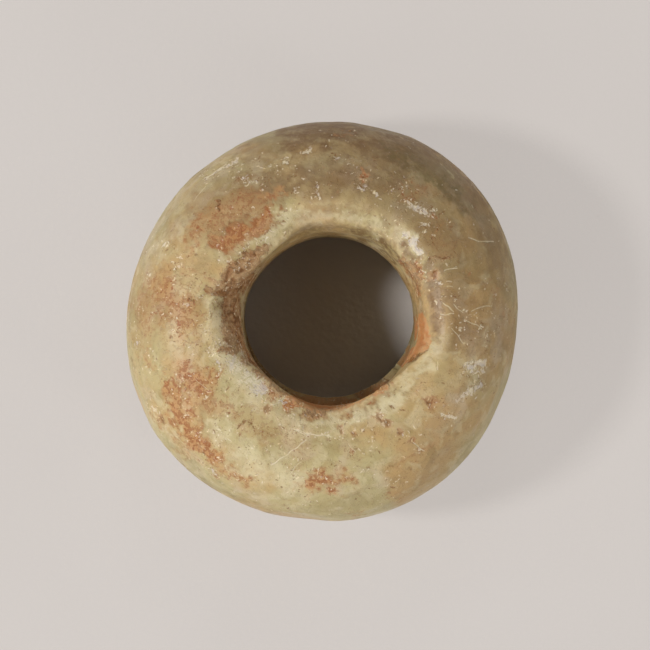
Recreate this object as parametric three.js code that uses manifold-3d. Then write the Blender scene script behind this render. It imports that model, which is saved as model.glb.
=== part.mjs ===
// A perforated stone: a squat ring of translucent green stone, ground to shape by hand and drilled
// through from both faces. It is a single piece, cut from one pebble, with nothing fitted to it.
//
// Lengths are in millimetres and angles in degrees. +Z is up. The stone stands on its ground flat
// underside at z = 0, and the origin is the middle of its footprint. Seen from above, +X points
// right and +Y points up the page, and a turn is counted anticlockwise from +X.

import * as THREE from 'three';
import { mergeVertices } from 'three/addons/utils/BufferGeometryUtils.js';
import Module from 'manifold-3d';

const wasm = await Module();
wasm.setup();
const { Manifold, Mesh: SolidMesh } = wasm;

const radians = THREE.MathUtils.degToRad;
const fullTurn = 360;

// Size of the ring

const beltWidth = 50.7;             // mean width at the widest level
const beltHeight = 11.4;            // level at which the stone is widest
const bodyHeight = 25;
const thicknessRunOut = 0.5;        // how much higher the stone stands at its thick side
const thickSideTurn = 248;

// The hole, which narrows from each mouth to a waist inside

const waistRadius = 10.66;
const waistHeight = 12.2;
const holeOffset = new THREE.Vector2(0.76, -0.13);   // upper drilling's foot off the middle
const upperMouthRadius = 10.8;
const lowerMouthRadius = 11.9;
const drillRingDepth = 0.16;        // height of the ridges that the drill sand left
const upperDrillLean = 3.6;
const upperLeanTurn = 76;
const lowerDrillLean = 1.6;
const lowerLeanTurn = 205;
const drillMismatch = 1.2;          // sideways step where the two drillings meet
const mismatchTurn = 92;
const drillOverlap = 0.4;           // how far each drilling runs on past the waist

// The worn bevel round each mouth

const upperBevelWidth = 3.4;
const upperBevelDepth = 1.4;
const lowerBevelWidth = 1.6;
const lowerBevelDepth = 0.8;
const mouthWearReach = 2.9;         // how much wider the upper mouth is where it is worn most

// The ground faces

const seatWidth = 4.4;              // width of the flat ring outside the lower bevel
const flatDepth = 0.45;             // how deep a full flat is ground into the side

// How finely round surfaces are faceted

const bodySegments = 84;
const boreSegments = 64;
const curveSteps = 10;
const mergeDistance = 1e-4 * bodyHeight;
const overrun = 3;                  // how far a cutting tool passes the surface it cuts

// A revolved profile, listed from the lower axis point to the upper one, as geometry with +Z up.
function revolve(profile, segments) {
  return new THREE.LatheGeometry(profile, segments).rotateX(Math.PI / 2);
}

// A closed geometry as a solid that can be cut.
function solidOf(geometry) {
  const bare = geometry.clone();
  bare.deleteAttribute('normal');
  bare.deleteAttribute('uv');
  const merged = mergeVertices(bare, mergeDistance);
  return new Manifold(new SolidMesh({
    numProp: 3,
    vertProperties: merged.attributes.position.array,
    triVerts: Uint32Array.from(merged.index.array),
  }));
}

// A solid as geometry that can be shown.
function geometryOf(solid) {
  const { numProp, vertProperties, triVerts } = solid.getMesh();
  const shared = new THREE.InterleavedBuffer(vertProperties, numProp);
  const geometry = new THREE.BufferGeometry();
  geometry.setAttribute('position', new THREE.InterleavedBufferAttribute(shared, 3, 0));
  geometry.setIndex(new THREE.BufferAttribute(triVerts, 1));
  geometry.computeVertexNormals();
  return geometry;
}

// A point in the plane of the page, at a distance from the middle in the direction of a turn.
function towards(turn, distance) {
  return new THREE.Vector2(
    distance * Math.cos(radians(turn)),
    distance * Math.sin(radians(turn)),
  );
}

// Body: a revolved pebble shape, fuller at the shoulders than a plain round, then pushed out of
// round as a stone is that was turned in the hand and not on a wheel.

// Fullness of the two quarter curves, as shares of their reach.
const shoulderFullnessShares = { up: 0.66, in: 0.6 };
const skirtFullnessShares = { down: 0.62, in: 0.5 };

// Departures from round: how many lobes, how high as a share of the radius, and where one peaks.
const outlineLobes = [
  { lobes: 2, heightShare: 0.021, peakTurn: 60 },
  { lobes: 3, heightShare: 0.009, peakTurn: 60 },
  { lobes: 4, heightShare: 0.006, peakTurn: 35 },
];

function outlineFactor(x, y) {
  const turn = Math.atan2(y, x);
  return outlineLobes.reduce(
    (factor, { lobes, heightShare, peakTurn }) =>
      factor + heightShare * Math.cos(lobes * (turn - radians(peakTurn))),
    1,
  );
}

// How much higher the stone stands at a point than its mean height there.
function runOut(x, y, z) {
  const thickSide = towards(thickSideTurn, 1);
  const outwards = (x * thickSide.x + y * thickSide.y) / (beltWidth / 2);
  return (thicknessRunOut / 2) * outwards * (z / bodyHeight);
}

function bodyProfile() {
  const beltRadius = beltWidth / 2;
  const crownRadius = upperMouthRadius + upperBevelWidth;
  const seatRadius = lowerMouthRadius + lowerBevelWidth + seatWidth;
  const shoulderRise = bodyHeight - beltHeight;
  const shoulderReach = beltRadius - crownRadius;
  const skirtReach = beltRadius - seatRadius;
  const { up, in: inward } = shoulderFullnessShares;
  const { down, in: under } = skirtFullnessShares;

  const profile = new THREE.Path();
  profile.moveTo(0, 0);
  profile.lineTo(seatRadius, 0);
  profile.bezierCurveTo(
    seatRadius + skirtReach * under, 0,
    beltRadius, beltHeight * (1 - down),
    beltRadius, beltHeight,
  );
  profile.bezierCurveTo(
    beltRadius, beltHeight + shoulderRise * up,
    crownRadius + shoulderReach * inward, bodyHeight,
    crownRadius, bodyHeight,
  );
  profile.lineTo(0, bodyHeight);
  return profile.getPoints(curveSteps);
}

function pebble() {
  const geometry = revolve(bodyProfile(), bodySegments);
  const position = geometry.attributes.position;
  const point = new THREE.Vector3();
  for (let i = 0; i < position.count; i += 1) {
    point.fromBufferAttribute(position, i);
    const factor = outlineFactor(point.x, point.y);
    const raised = runOut(point.x, point.y, point.z);
    position.setXYZ(i, point.x * factor, point.y * factor, point.z + raised);
  }
  return solidOf(geometry);
}

// Ground flats: shallow facets rubbed into the side and shoulders on a flat grindstone. Each one
// is a slab laid against the stone from the direction it was ground, and taken off.

const sideFlats = [
  { turn: 338, tilt: 9, depthShare: 0.9 },
  { turn: 30, tilt: 28, depthShare: 0.8 },
  { turn: 77, tilt: 8, depthShare: 0.85 },
  { turn: 112, tilt: 42, depthShare: 0.6 },
  { turn: 125, tilt: 6, depthShare: 0.7 },
  { turn: 146, tilt: 12, depthShare: 0.7 },
  { turn: 180, tilt: 32, depthShare: 0.7 },
  { turn: 202, tilt: 7, depthShare: 0.8 },
  { turn: 224, tilt: 24, depthShare: 0.8 },
  { turn: 264, tilt: 8, depthShare: 1 },
  { turn: 284, tilt: 36, depthShare: 0.7 },
  { turn: 315, tilt: 30, depthShare: 0.9 },
  { turn: 50, tilt: -24, depthShare: 0.8 },
  { turn: 168, tilt: -28, depthShare: 0.7 },
  { turn: 300, tilt: -22, depthShare: 0.8 },
];

// The furthest that a solid reaches along a direction.
function reachAlong(solid, direction) {
  const { numProp, vertProperties } = solid.getMesh();
  let reach = -Infinity;
  for (let i = 0; i < vertProperties.length; i += numProp) {
    const [x, y, z] = vertProperties.subarray(i, i + 3);
    reach = Math.max(reach, x * direction.x + y * direction.y + z * direction.z);
  }
  return reach;
}

function sideFlatSlab(stone, { turn, tilt, depthShare }) {
  const level = towards(turn, Math.cos(radians(tilt)));
  const outward = new THREE.Vector3(level.x, level.y, Math.sin(radians(tilt)));
  const face = reachAlong(stone, outward) - flatDepth * depthShare;
  const slab = new THREE.BoxGeometry(beltWidth, beltWidth, overrun);
  slab.translate(0, 0, face + overrun / 2);
  slab.applyQuaternion(
    new THREE.Quaternion().setFromUnitVectors(new THREE.Vector3(0, 0, 1), outward),
  );
  return solidOf(slab);
}

// The hole: one drilling from each face, meeting at the waist. A drill of wood or bone fed with
// sand widens the hole towards its mouth and leaves fine rings round the wall. Handling has rolled
// the mouth's edge over into a bevel.

const drillRings = 3;
const stepsPerRing = 4;
const flareShare = 0.6;             // how much of the widening a wall has already at half its depth
const bevelSteps = 5;
const rollShares = { out: 0.45, up: 0.8 };      // where the bevel rolls over, along and up it

// Wear of the upper mouth: places where its edge was rubbed or broken wider, which leave it a
// rounded polygon. Each has its turn, its spread to either side, and its share of the full wear.
const mouthWear = [
  { turn: 172, spread: 18, reachShare: 1 },
  { turn: 201, spread: 14, reachShare: 0.56 },
  { turn: 265, spread: 18, reachShare: 0.34 },
  { turn: 345, spread: 18, reachShare: 0.58 },
  { turn: 20, spread: 17, reachShare: 0.34 },
  { turn: 62, spread: 19, reachShare: 0.38 },
  { turn: 100, spread: 17, reachShare: 0.41 },
];
const waistWearShare = 0.08;        // how much of the mouth's wear is felt down at the waist
const brinkWearShare = 0.45;        // how much of it is felt at the bevel's outer brink
const wearGathering = 5;            // power by which wear gathers towards the mouth's edge

function wear(turn) {
  return mouthWear.reduce((sum, place) => {
    const apart = THREE.MathUtils.euclideanModulo(turn - place.turn, fullTurn);
    const nearest = Math.min(apart, fullTurn - apart);
    return sum + place.reachShare * Math.exp(-((nearest / place.spread) ** 2));
  }, 0);
}

// The profile of a drilling that stands on the waist: from its nose below the waist, up the wall,
// over the bevel and on past the face. Each point has its own share of the wear.
function drillProfile({ mouthRadius, bevelWidth, bevelDepth, depth }) {
  const wallHeight = depth - bevelDepth;
  const taper = (mouthRadius - waistRadius) / wallHeight;
  const profile = [
    { radius: 0, height: -drillOverlap, wearShare: 0 },
    { radius: waistRadius - drillOverlap * taper, height: -drillOverlap, wearShare: waistWearShare },
  ];

  const bend = Math.log(flareShare) / Math.log(1 / 2);
  const wallSteps = drillRings * stepsPerRing;
  for (let step = 0; step < wallSteps; step += 1) {
    const share = step / wallSteps;
    const ring = (drillRingDepth / 2) * (1 - Math.cos(2 * Math.PI * drillRings * share));
    profile.push({
      radius: waistRadius + (mouthRadius - waistRadius) * share ** bend + ring,
      height: wallHeight * share,
      wearShare: waistWearShare + (1 - waistWearShare) * share ** wearGathering,
    });
  }

  const roll = new THREE.QuadraticBezierCurve(
    new THREE.Vector2(0, 0),
    new THREE.Vector2(bevelWidth * rollShares.out, bevelDepth * rollShares.up),
    new THREE.Vector2(bevelWidth, bevelDepth),
  );
  for (const { x, y } of roll.getPoints(bevelSteps)) {
    profile.push({
      radius: mouthRadius + x,
      height: wallHeight + y,
      wearShare: 1 - (1 - brinkWearShare) * (x / bevelWidth),
    });
  }

  const brinkSlope = (bevelDepth * (1 - rollShares.up)) / (bevelWidth * (1 - rollShares.out));
  const top = depth + overrun * brinkSlope;
  profile.push(
    { radius: mouthRadius + bevelWidth + overrun, height: top, wearShare: brinkWearShare },
    { radius: 0, height: top, wearShare: 0 },
  );
  return profile;
}

// A drilling as a cutting tool, pushed out of round by its wear. It leans up to the mouth's edge,
// and its bevel rises with the face, by as much as the face stands above its mean level.
function drilling({ centre, leaning, leanTurn, wearReach, faceRise, ...size }) {
  const wallHeight = size.depth - size.bevelDepth;
  const profile = drillProfile(size);
  const outline = profile.map(({ radius, height }) => new THREE.Vector2(radius, height));
  const geometry = revolve(outline, boreSegments);
  const position = geometry.attributes.position;
  for (let i = 0; i < position.count; i += 1) {
    const { radius, height, wearShare } = profile[i % profile.length];
    const turn = THREE.MathUtils.radToDeg(Math.atan2(position.getY(i), position.getX(i)));
    const reach = radius > 0 ? radius + wearReach * wearShare * wear(turn) : 0;
    const leant = Math.min(height, wallHeight) * Math.tan(radians(leaning));
    const place = towards(turn, reach).add(centre).add(towards(leanTurn, leant));
    const riseShare = THREE.MathUtils.clamp(height / wallHeight, 0, 1);
    position.setXYZ(i, place.x, place.y, height + faceRise(place.x, place.y) * riseShare);
  }
  return geometry;
}

function upperHole() {
  const tool = drilling({
    mouthRadius: upperMouthRadius,
    bevelWidth: upperBevelWidth,
    bevelDepth: upperBevelDepth,
    depth: bodyHeight - waistHeight,
    centre: holeOffset,
    leaning: upperDrillLean,
    leanTurn: upperLeanTurn,
    wearReach: mouthWearReach,
    faceRise: (x, y) => runOut(x, y, bodyHeight),
  });
  tool.translate(0, 0, waistHeight);
  return solidOf(tool);
}

// The lower drilling is made pointing up, then turned over about X, so its Y and turns are mirrored.
function lowerHole() {
  const waist = towards(mismatchTurn, drillMismatch).add(holeOffset);
  const tool = drilling({
    mouthRadius: lowerMouthRadius,
    bevelWidth: lowerBevelWidth,
    bevelDepth: lowerBevelDepth,
    depth: waistHeight,
    centre: new THREE.Vector2(waist.x, -waist.y),
    leaning: lowerDrillLean,
    leanTurn: -lowerLeanTurn,
    wearReach: 0,
    faceRise: () => 0,
  });
  tool.rotateX(Math.PI);
  tool.translate(0, 0, waistHeight);
  return solidOf(tool);
}

// The finished stone

function perforatedStone() {
  const rough = pebble();
  let stone = rough;
  for (const flat of sideFlats) {
    stone = stone.subtract(sideFlatSlab(rough, flat));
  }
  return stone.subtract(upperHole()).subtract(lowerHole());
}

const greenStone = new THREE.MeshStandardMaterial({
  color: new THREE.Color(0.71, 0.64, 0.45),
  roughness: 0.42,
  metalness: 0,
});

const stone = new THREE.Mesh(geometryOf(perforatedStone()), greenStone);
stone.name = 'perforated_stone';
stone.geometry.computeBoundingBox();
const footprintMiddle = stone.geometry.boundingBox.getCenter(new THREE.Vector3());
stone.position.set(-footprintMiddle.x, -footprintMiddle.y, -stone.geometry.boundingBox.min.z);

const part = new THREE.Group();
part.add(stone);

export default part;
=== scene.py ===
import math
import random

import bmesh
import bpy
import numpy as np
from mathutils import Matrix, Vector, noise
from mathutils.bvhtree import BVHTree


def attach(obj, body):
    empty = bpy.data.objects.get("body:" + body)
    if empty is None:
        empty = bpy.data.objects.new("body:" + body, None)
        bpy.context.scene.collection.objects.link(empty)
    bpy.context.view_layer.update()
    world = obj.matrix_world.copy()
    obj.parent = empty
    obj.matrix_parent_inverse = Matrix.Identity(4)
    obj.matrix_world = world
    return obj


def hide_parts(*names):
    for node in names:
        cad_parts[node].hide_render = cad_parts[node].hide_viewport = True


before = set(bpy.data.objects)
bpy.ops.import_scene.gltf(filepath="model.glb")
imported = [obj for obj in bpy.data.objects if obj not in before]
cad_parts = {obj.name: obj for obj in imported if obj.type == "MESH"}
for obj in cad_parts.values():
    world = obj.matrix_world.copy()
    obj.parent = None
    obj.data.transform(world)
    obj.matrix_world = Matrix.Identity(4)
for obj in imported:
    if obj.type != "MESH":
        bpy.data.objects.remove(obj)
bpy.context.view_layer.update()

# Camera. The photograph was taken from straight above, about 40 centimetres away through a
# long lens, with the top of the picture towards +Y. The belt is the stone's widest girth.
MM = 0.001
PICTURE_PIXELS = 650
CAMERA_ACROSS = 0.37 * MM
CAMERA_ALONG = -0.50 * MM
CAMERA_HEIGHT = 420 * MM
BELT_HEIGHT = 11.4 * MM
PICTURE_WIDTH_AT_BELT = 83.2 * MM
SENSOR_WIDTH = 36.0
NEAREST_SEEN = 50 * MM
FARTHEST_SEEN = 20.0

camera_data = bpy.data.cameras.new("camera")
camera_data.sensor_width = SENSOR_WIDTH
camera_data.lens = SENSOR_WIDTH * (CAMERA_HEIGHT - BELT_HEIGHT) / PICTURE_WIDTH_AT_BELT
camera_data.clip_start = NEAREST_SEEN
camera_data.clip_end = FARTHEST_SEEN
camera = bpy.data.objects.new("camera", camera_data)
camera.location = (CAMERA_ACROSS, CAMERA_ALONG, CAMERA_HEIGHT)
bpy.context.scene.collection.objects.link(camera)
bpy.context.scene.camera = camera
bpy.context.scene.view_settings.view_transform = "Standard"

# Table. A broad sheet of pale warm-grey card lies flat under the stone, with the faint
# unevenness and the odd crumb of soil that such a sheet has.
TABLE_REACH = 1.6
TABLE_SQUARES = 8
TABLE_COLOUR = (212, 206, 201)
TABLE_DIM_COLOUR = (204, 198, 193)
TABLE_SPECK_COLOUR = (176, 164, 150)
TABLE_ROUGHNESS = 0.85
TABLE_SPECULAR = 0.2
TABLE_TONE_SIZE = 60 * MM
TABLE_CRUMB_SIZE = 2.2 * MM
TABLE_TOOTH_SIZE = 0.9 * MM
TABLE_TOOTH_HEIGHT = 0.05 * MM
BACKDROP_COLOUR = (211, 204, 199)
GLOW_SHARE = 0.70
SHADED_RADIUS = 14 * MM
SHADED_BLEND = 4 * MM


def linear(colour):
    """A colour given in 0 to 255 steps, as the linear values that a socket takes."""
    steps = [part / 255 for part in colour]
    light = [s / 12.92 if s <= 0.04045 else ((s + 0.055) / 1.055) ** 2.4 for s in steps]
    return (*light, 1.0)


class Value:
    """A socket that carries a number, vector or colour, so that a finish reads as plain sums."""

    def __init__(self, tree, socket):
        self.tree = tree
        self.socket = socket

    def node(self, kind, settings, inputs, output=0):
        """Adds a node, with its settings first and then the values or links of its sockets."""
        made = self.tree.nodes.new(kind)
        for name, setting in settings.items():
            setattr(made, name, setting)
        for key, value in inputs.items():
            if isinstance(value, Value):
                self.tree.links.new(value.socket, made.inputs[key])
            else:
                made.inputs[key].default_value = value
        return Value(self.tree, made.outputs[output])

    def output(self, name):
        """Another output of the node that gave this value."""
        return Value(self.tree, self.socket.node.outputs[name])

    def vector(self, operation, other, output=0):
        """A Vector Math node on this vector and another one, or on this one and a scale."""
        key = "Scale" if operation == "SCALE" else 1
        settings = {"operation": operation}
        return self.node("ShaderNodeVectorMath", settings, {0: self, key: other}, output)

    def math(self, operation, *numbers):
        """A Math node on these numbers."""
        return self.node("ShaderNodeMath", {"operation": operation}, dict(enumerate(numbers)))

    def __add__(self, other):
        return self.math("ADD", self, other)

    def __sub__(self, other):
        return self.math("SUBTRACT", self, other)

    def __rsub__(self, other):
        return self.math("SUBTRACT", other, self)

    def __mul__(self, other):
        return self.math("MULTIPLY", self, other)

    __radd__ = __add__
    __rmul__ = __mul__

    def larger(self, other):
        """The larger of two numbers."""
        return self.math("MAXIMUM", self, other)

    def between(self, low, high):
        """0 at low, 1 at high, with a soft start and end."""
        return self.node(
            "ShaderNodeMapRange",
            {"interpolation_type": "SMOOTHSTEP"},
            {"Value": self, "From Min": low, "From Max": high},
        )

    def blend(self, first, second):
        """The first colour where this number is 0, and the second where it is 1."""
        return self.node(
            "ShaderNodeMix",
            {"data_type": "RGBA"},
            {0: self, 6: first, 7: second},
            output=2,
        )

    def grain(self, size, detail=2.0, roughness=0.5, distortion=0.0):
        """Noise from 0 to 1 at this place, with patches of about this size in metres."""
        return self.node(
            "ShaderNodeTexNoise",
            {},
            {
                "Vector": self,
                "Scale": 1 / size,
                "Detail": detail,
                "Roughness": roughness,
                "Distortion": distortion,
            },
        )

    def bump(self, height, distance):
        """A normal that leans with a height field, where 1 is this distance in metres."""
        return self.node("ShaderNodeBump", {}, {"Height": height, "Distance": distance})


def new_finish(name):
    """A material, its Principled shader, and the place on the piece in metres."""
    made = bpy.data.materials.new(name)
    made.use_nodes = True
    tree = made.node_tree
    shader = tree.nodes["Principled BSDF"]
    place = Value(tree, tree.nodes.new("ShaderNodeTexCoord").outputs["Object"])
    return made, shader, place


def feed(shader, name, value):
    """Lets a value drive one of the shader's sockets."""
    value.tree.links.new(value.socket, shader.inputs[name])


table_finish, shader, place = new_finish("pale_card")
tone = place.grain(TABLE_TONE_SIZE, detail=3.0).between(0.35, 0.65)
crumbs = place.grain(TABLE_CRUMB_SIZE, detail=1.0).between(0.80, 0.86)
card = tone.blend(linear(TABLE_DIM_COLOUR), linear(TABLE_COLOUR))
feed(shader, "Base Color", crumbs.blend(card, linear(TABLE_SPECK_COLOUR)))
shader.inputs["Roughness"].default_value = TABLE_ROUGHNESS
shader.inputs["Specular IOR Level"].default_value = TABLE_SPECULAR
tooth = place.grain(TABLE_TOOTH_SIZE, detail=3.0)
feed(shader, "Normal", place.bump(tooth, TABLE_TOOTH_HEIGHT))

# the open card is held near an even pale tone for the camera alone, but not inside the hole
outward = place.vector("DISTANCE", (0.0, 0.0, 0.0), "Value")
open_table = outward.between(SHADED_RADIUS, SHADED_RADIUS + SHADED_BLEND)
to_camera = place.node("ShaderNodeLightPath", {}, {}, output="Is Camera Ray")
glow = place.node("ShaderNodeEmission", {}, {"Color": linear(BACKDROP_COLOUR)})
lit = Value(place.tree, shader.outputs["BSDF"])
mixed = place.node(
    "ShaderNodeMixShader", {}, {0: open_table * to_camera * GLOW_SHARE, 1: lit, 2: glow}
)
surface = place.tree.nodes["Material Output"].inputs["Surface"]
place.tree.links.new(mixed.socket, surface)

sheet = bmesh.new()
bmesh.ops.create_grid(
    sheet, x_segments=TABLE_SQUARES, y_segments=TABLE_SQUARES, size=TABLE_REACH
)
table_mesh = bpy.data.meshes.new("table")
sheet.to_mesh(table_mesh)
sheet.free()
table = bpy.data.objects.new("table", table_mesh)
table_mesh.materials.append(table_finish)
bpy.context.scene.collection.objects.link(table)

# Light. A plain bright room lights the stone from all round, dimmer overhead where the
# camera is. Windows and lamps round the table add the rest and throw soft, faint shadows.
ROOM_SHARE = 0.38
OVERHEAD_SHARE = 0.12
OVERHEAD_SPREAD = 56
ROOM_COLOUR = (1.0, 0.985, 0.965, 1.0)
LAMP_DISTANCE = 0.9
LAMPS = (
    # name, turn and height in degrees, width in metres, and share of the light on the table
    ("lower_left_window", 230, 31, 0.55, 0.08),
    ("lower_right_window", -34, 28, 0.24, 0.08),
    ("left_lamp", 183, 47, 0.14, 0.46),
    ("top_lamp", 88, 40, 0.30, 0.07),
    ("right_lamp", -10, 50, 0.30, 0.02),
    ("near_lamp", 266, 36, 0.34, 0.04),
)

world = bpy.data.worlds.new("room")
world.use_nodes = True
bpy.context.scene.world = world
room_tree = world.node_tree
sky = room_tree.nodes["Background"]
around = Value(room_tree, room_tree.nodes.new("ShaderNodeTexCoord").outputs["Generated"])
upward = around.node("ShaderNodeSeparateXYZ", {}, {"Vector": around}, output="Z")
overhead = upward.between(math.cos(math.radians(OVERHEAD_SPREAD)), 1.0)
seen = around.node("ShaderNodeLightPath", {}, {}, output="Is Camera Ray")
room_strength = (1 - overhead * (1 - OVERHEAD_SHARE)) * ROOM_SHARE
feed(sky, "Color", seen.blend(ROOM_COLOUR, linear(BACKDROP_COLOUR)))
feed(sky, "Strength", room_strength * (1 - seen) + seen)

for name, turn, height, width, share in LAMPS:
    lamp = bpy.data.lights.new(name, "AREA")
    lamp.shape = "DISK"
    lamp.size = width
    lamp.energy = share * math.pi**2 * LAMP_DISTANCE**2 / math.sin(math.radians(height))
    lamp_object = bpy.data.objects.new(name, lamp)
    towards = Vector(
        (
            math.cos(math.radians(turn)) * math.cos(math.radians(height)),
            math.sin(math.radians(turn)) * math.cos(math.radians(height)),
            math.sin(math.radians(height)),
        )
    )
    lamp_object.location = towards * LAMP_DISTANCE
    lamp_object.rotation_mode = "QUATERNION"
    lamp_object.rotation_quaternion = towards.to_track_quat("Z", "Y")
    bpy.context.scene.collection.objects.link(lamp_object)

# Perforated stone. One squat ring of translucent yellow-green stone, ground to shape by hand
# and drilled from both faces, then worn, pitted and stained by long burial. Its spine is the
# circle that runs round inside it, midway between the hole and the side.
STONE_BODY = "root"
STONE_NODE = "perforated_stone"
SPINE_RADIUS = 17.8 * MM
SPINE_HEIGHT = 13.0 * MM
CORE_RADIUS = 1 * MM
RING_POINTS = 172
RING_TURNS = 72
CUTS_PER_TURN = 7
DENSE_SIDE = math.radians(67)
DENSE_SHARE = 0.44
CAST_REACH = 30 * MM
MERGE_DISTANCE = 0.002 * MM
LEAST_TURN = 1e-6

solid = bmesh.new()
solid.from_mesh(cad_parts[STONE_NODE].data)
bmesh.ops.remove_doubles(solid, verts=solid.verts, dist=MERGE_DISTANCE)
ground_shape = BVHTree.FromBMesh(solid)


def turn_of(vertex):
    """The turn of a point about the stone's upright axis."""
    return math.atan2(vertex.co.y, vertex.co.x)


def goes_round(edge):
    """Whether an edge runs round the hole, and not round the section of the ring."""
    start, end = edge.verts
    return abs(math.sin(turn_of(start) - turn_of(end))) > LEAST_TURN


def place_in_ring(vertex):
    """A number that rises round the ring and, within each step of it, round its section."""
    steps = RING_TURNS * (CUTS_PER_TURN + 1)
    step = round(turn_of(vertex) / math.tau * steps) % steps
    out = math.hypot(vertex.co.x, vertex.co.y) - SPINE_RADIUS
    lean = math.atan2(vertex.co.z - SPINE_HEIGHT, out)
    return step + (lean / math.tau) % 1


def place_in_mesh(part):
    """A number that puts edges or faces in the order of their points."""
    numbers = [vertex.index for vertex in part.verts]
    return min(numbers) * len(ring.verts) + max(numbers)


# a thin ring in the heart of the stone, its points closest on the crown, is cast out onto
# the ground solid
ring = bmesh.new()
circle = bmesh.ops.create_circle(ring, segments=RING_POINTS, radius=1.0)
for vertex in circle["verts"]:
    even = math.atan2(vertex.co.y, vertex.co.x)
    lean = even - DENSE_SHARE * math.sin(even - DENSE_SIDE)
    out = SPINE_RADIUS + CORE_RADIUS * math.cos(lean)
    vertex.co = (out, 0.0, SPINE_HEIGHT + CORE_RADIUS * math.sin(lean))
bmesh.ops.spin(
    ring,
    geom=ring.verts[:] + ring.edges[:],
    cent=(0, 0, 0),
    axis=(0, 0, 1),
    dvec=(0, 0, 0),
    angle=math.tau,
    steps=RING_TURNS,
    use_merge=True,
    use_duplicate=False,
)
round_edges = [edge for edge in ring.edges if goes_round(edge)]
bmesh.ops.subdivide_edges(ring, edges=round_edges, cuts=CUTS_PER_TURN, use_grid_fill=True)

# cuts come in no set order, so the points, edges and faces are given one: marks that are
# scattered by chance pick points by their number
ring.verts.sort(key=place_in_ring)
ring.verts.index_update()
ring.edges.sort(key=place_in_mesh)
ring.faces.sort(key=place_in_mesh)

for vertex in ring.verts:
    flat = Vector((vertex.co.x, vertex.co.y, 0)).normalized() * SPINE_RADIUS
    spine = Vector((flat.x, flat.y, SPINE_HEIGHT))
    vertex.co = ground_shape.ray_cast(spine, vertex.co - spine, CAST_REACH)[0]
solid.free()
bmesh.ops.recalc_face_normals(ring, faces=ring.faces)
for face in ring.faces:
    face.smooth = True
stone_mesh = bpy.data.meshes.new("weathered_stone")
ring.to_mesh(stone_mesh)
ring.free()

points = np.zeros(len(stone_mesh.vertices) * 3, np.float32)
stone_mesh.vertices.foreach_get("co", points)
points = points.reshape(-1, 3).astype(float)
corners = np.zeros(len(stone_mesh.edges) * 2, np.int32)
stone_mesh.edges.foreach_get("vertices", corners)
first, second = corners.reshape(-1, 2).T
joins = np.bincount(first, minlength=len(points)) + np.bincount(second, minlength=len(points))


def neighbours(level):
    """The mean of a level over the points that an edge joins to each point."""
    total = np.bincount(first, level[second], len(points))
    total += np.bincount(second, level[first], len(points))
    return total / joins


def beside(places):
    """The middle of the points that an edge joins to each point."""
    return np.stack([neighbours(places[:, axis]) for axis in range(3)], axis=1)


def from_axis():
    """How far each point lies from the upright axis of the stone, as it stands."""
    return np.hypot(points[:, 0], points[:, 1])


def set_points():
    """Puts the points back into the mesh, with none of them below the table."""
    points[:, 2] = np.maximum(points[:, 2], 0.0)
    stone_mesh.vertices.foreach_set("co", points.astype(np.float32).ravel())
    stone_mesh.update()


def mesh_normals():
    """The normals of the stone's mesh as it stands."""
    flat = np.zeros(len(points) * 3, np.float32)
    stone_mesh.vertex_normals.foreach_get("vector", flat)
    return flat.reshape(-1, 3).astype(float)


# the flat facets of the solid are eased away outside the mouths, and each easing is let out
# again, so that the stone hardly shrinks
EASINGS = 40
EASE = 0.50
LET_OUT = -0.52
MOUTH_EDGE = 13.6 * MM
MOUTH_BLEND = 2.4 * MM
LEAST_EASE = 0.06
outside_mouth = np.clip((from_axis() - MOUTH_EDGE) / MOUTH_BLEND, LEAST_EASE, 1)
for _ in range(EASINGS):
    for share in (EASE, LET_OUT):
        points += (share * outside_mouth)[:, None] * (beside(points) - points)
set_points()
normals = mesh_normals()

# where the camera of the photograph sees each point of the stone, in pixels, and whether it
# does: 0 where the surface leans downwards, and 1 where it leans upwards
HIDDEN_LEAN = -0.15
SEEN_LEAN = 0.15
pixels_per_metre = (
    PICTURE_PIXELS / PICTURE_WIDTH_AT_BELT
    * (CAMERA_HEIGHT - BELT_HEIGHT) / (CAMERA_HEIGHT - points[:, 2])
)
seen_x = PICTURE_PIXELS / 2 + (points[:, 0] - CAMERA_ACROSS) * pixels_per_metre
seen_y = PICTURE_PIXELS / 2 - (points[:, 1] - CAMERA_ALONG) * pixels_per_metre
facing_up = np.clip((normals[:, 2] - HIDDEN_LEAN) / (SEEN_LEAN - HIDDEN_LEAN), 0, 1)

# strokes wander by some pixels over these two sizes of patch, so that none ends straight
BROAD_PATCH = 1.5 * MM
SMALL_PATCH = 0.45 * MM
SMALL_PATCH_SHARE = 0.6
WANDER_SEED = 41
CLOUD_WANDER = 16
STAIN_WANDER = 12
SOIL_WANDER = 6
PACKED_WANDER = 4
CHIP_WANDER = 3
noise.seed_set(WANDER_SEED)
broad = np.array([noise.noise_vector(Vector(p) / BROAD_PATCH) for p in points])
small = np.array([noise.noise_vector(Vector(p) / SMALL_PATCH) for p in points])


def marks(strokes, wander):
    """How strongly each point lies in the listed strokes, in pixels of the photograph."""
    level = np.zeros(len(points))
    across = seen_x + wander * (broad[:, 0] + SMALL_PATCH_SHARE * small[:, 0])
    down = seen_y + wander * (broad[:, 1] + SMALL_PATCH_SHARE * small[:, 1])
    for x0, y0, x1, y1, reach, strength in strokes:
        along = np.array((x1 - x0, y1 - y0), float)
        dot = (across - x0) * along[0] + (down - y0) * along[1]
        share = np.clip(dot / (along @ along), 0, 1)
        away = np.hypot(across - x0 - share * along[0], down - y0 - share * along[1])
        level = np.maximum(level, strength * np.exp(-((away / reach) ** 2)))
    return level * facing_up


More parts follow.
